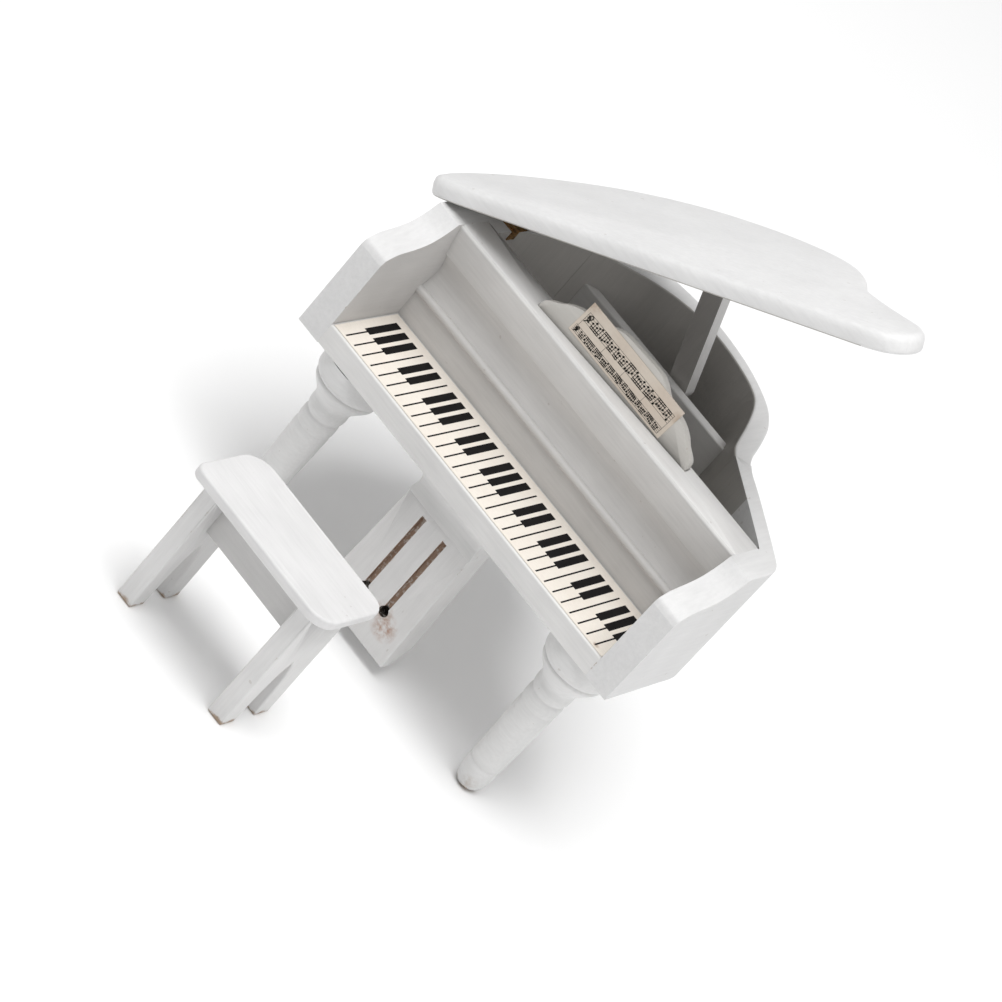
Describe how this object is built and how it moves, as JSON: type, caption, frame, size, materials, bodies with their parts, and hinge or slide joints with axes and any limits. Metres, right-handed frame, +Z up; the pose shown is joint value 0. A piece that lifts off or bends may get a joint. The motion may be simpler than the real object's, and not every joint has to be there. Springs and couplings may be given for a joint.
{
  "type": "miniature grand piano",
  "caption": "White painted wooden dolls house grand piano with a propped lid, printed keyboard and sheet music, turned legs, pedal lyre and matching stool.",
  "frame": {"origin": "on the floor below the middle of the box around the piano and its stool", "axes": "+Z up, the player sits on the -Y side, the bass end of the keyboard and the lid's hinge are on the -X side"},
  "size_m": [0.1276, 0.1528, 0.1567],
  "materials": {
    "white_paint": "hand-painted satin white over wood, soft edges, small chips",
    "keyboard_paper": "printed cream paper with black keys",
    "music_paper": "printed beige paper with two black staves",
    "hinge_brass": "dull brass, slightly tarnished",
    "pin_steel": "plain drawn wire"
  },
  "bodies": {
    "piano": {"left_side": "white_paint", "right_side": "white_paint", "tail_rim": "white_paint", "bottom_board": "white_paint", "key_bed": "white_paint", "keyboard_sheet": "keyboard_paper", "key_strip": "white_paint", "strip_lip": "white_paint", "fallboard": "white_paint", "top_rail": "white_paint", "music_desk": "white_paint", "music_sheet": "music_paper", "cross_bar": "white_paint", "left_leg": "white_paint", "right_leg": "white_paint", "rear_leg": "white_paint", "lyre_cap": "white_paint", "lyre_board": "white_paint", "case_leaf": "hinge_brass", "case_leaf_nails": "hinge_brass", "hinge_pin": "pin_steel"},
    "lid": {"lid_board": "white_paint", "lid_leaf": "hinge_brass", "lid_leaf_nails": "hinge_brass", "prop_tab": "white_paint", "prop_nail": "pin_steel"},
    "prop": {"prop_stick": "white_paint"},
    "stool": {"stool_seat": "white_paint", "stool_left_end": "white_paint", "stool_right_end": "white_paint", "stool_rail": "white_paint"}
  },
  "joints": [
    {"name": "lid_hinge", "type": "hinge", "parent": "piano", "child": "lid", "pos_m": [-0.05583, 0.02795, 0.0884], "axis": [0, 1, 0], "range_deg": [0, 16.2]},
    {"name": "prop_swing", "type": "hinge", "parent": "lid", "child": "prop", "pos_m": [-0.01086, 0.05965, 0.11253], "axis": [0, 1, 0], "range_deg": [-16.2, 0]},
    {"name": "stool_slide", "type": "slide", "parent": "piano", "child": "stool", "axis": [0, 1, 0], "range_m": [-0.02, 0.036]}
  ],
  "couplings": [
    {"joint": "prop_swing", "follows": "lid_hinge", "ratio": -1}
  ]
}
